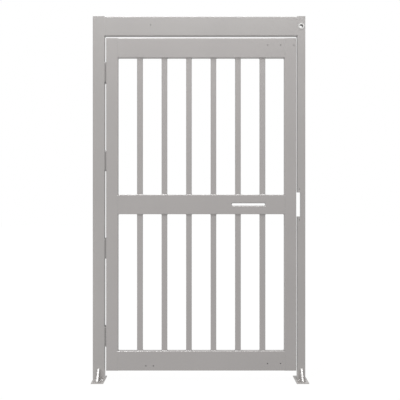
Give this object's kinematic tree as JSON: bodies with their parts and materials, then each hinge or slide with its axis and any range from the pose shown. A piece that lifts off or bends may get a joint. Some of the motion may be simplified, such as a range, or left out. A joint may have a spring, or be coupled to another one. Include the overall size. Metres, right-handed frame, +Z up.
{
  "type": "full-height security gate",
  "caption": "Full-height barred security gate: one hinged leaf of square tube in a frame of two posts and a header, on bolt-down base plates.",
  "frame": {"origin": "centre of the hinge post's base plate, on its underside", "axes": "+Z up along the posts; +X from the hinge post to the lock post; +Y to the rear, where the hinge barrels are and towards which the leaf opens; -Y is the front"},
  "size_m": [1.346, 0.215, 2.286],
  "materials": {
    "frame_paint": "satin warm grey powder coat",
    "leaf_paint": "satin warm grey powder coat",
    "hinge_paint": "satin warm grey powder coat, a little worn",
    "pin_steel": "bright steel",
    "bushing_nylon": "pale grey nylon"
  },
  "bodies": {
    "frame": {"hinge_post": "frame_paint", "lock_post": "frame_paint", "header": "frame_paint", "hinge_post_cap": "frame_paint", "lock_post_cap": "frame_paint", "hinge_post_base_plate": "frame_paint", "lock_post_base_plate": "frame_paint", "hinge_post_front_gusset": "frame_paint", "hinge_post_rear_gusset": "frame_paint", "lock_post_front_gusset": "frame_paint", "lock_post_rear_gusset": "frame_paint", "strike_box": "frame_paint", "wire_bushing": "bushing_nylon", "top_hinge_post_leaf": "hinge_paint", "upper_hinge_post_leaf": "hinge_paint", "lower_hinge_post_leaf": "hinge_paint", "bottom_hinge_post_leaf": "hinge_paint", "top_hinge_pin": "pin_steel", "upper_hinge_pin": "pin_steel", "lower_hinge_pin": "pin_steel", "bottom_hinge_pin": "pin_steel"},
    "leaf": {"hinge_stile": "leaf_paint", "lock_stile": "leaf_paint", "top_rail": "leaf_paint", "mid_rail": "leaf_paint", "bottom_rail": "leaf_paint", "slot_liner": "leaf_paint", "upper_bar_1": "leaf_paint", "upper_bar_2": "leaf_paint", "upper_bar_3": "leaf_paint", "upper_bar_4": "leaf_paint", "upper_bar_5": "leaf_paint", "upper_bar_6": "leaf_paint", "lower_bar_1": "leaf_paint", "lower_bar_2": "leaf_paint", "lower_bar_3": "leaf_paint", "lower_bar_4": "leaf_paint", "lower_bar_5": "leaf_paint", "lower_bar_6": "leaf_paint", "top_hinge_gate_leaf": "hinge_paint", "upper_hinge_gate_leaf": "hinge_paint", "lower_hinge_gate_leaf": "hinge_paint", "bottom_hinge_gate_leaf": "hinge_paint"}
  },
  "joints": [
    {"name": "leaf_swing", "type": "hinge", "parent": "frame", "child": "leaf", "pos_m": [0.042, 0.034, 0], "axis": [0, 0, 1], "range_deg": [0, 150]}
  ]
}
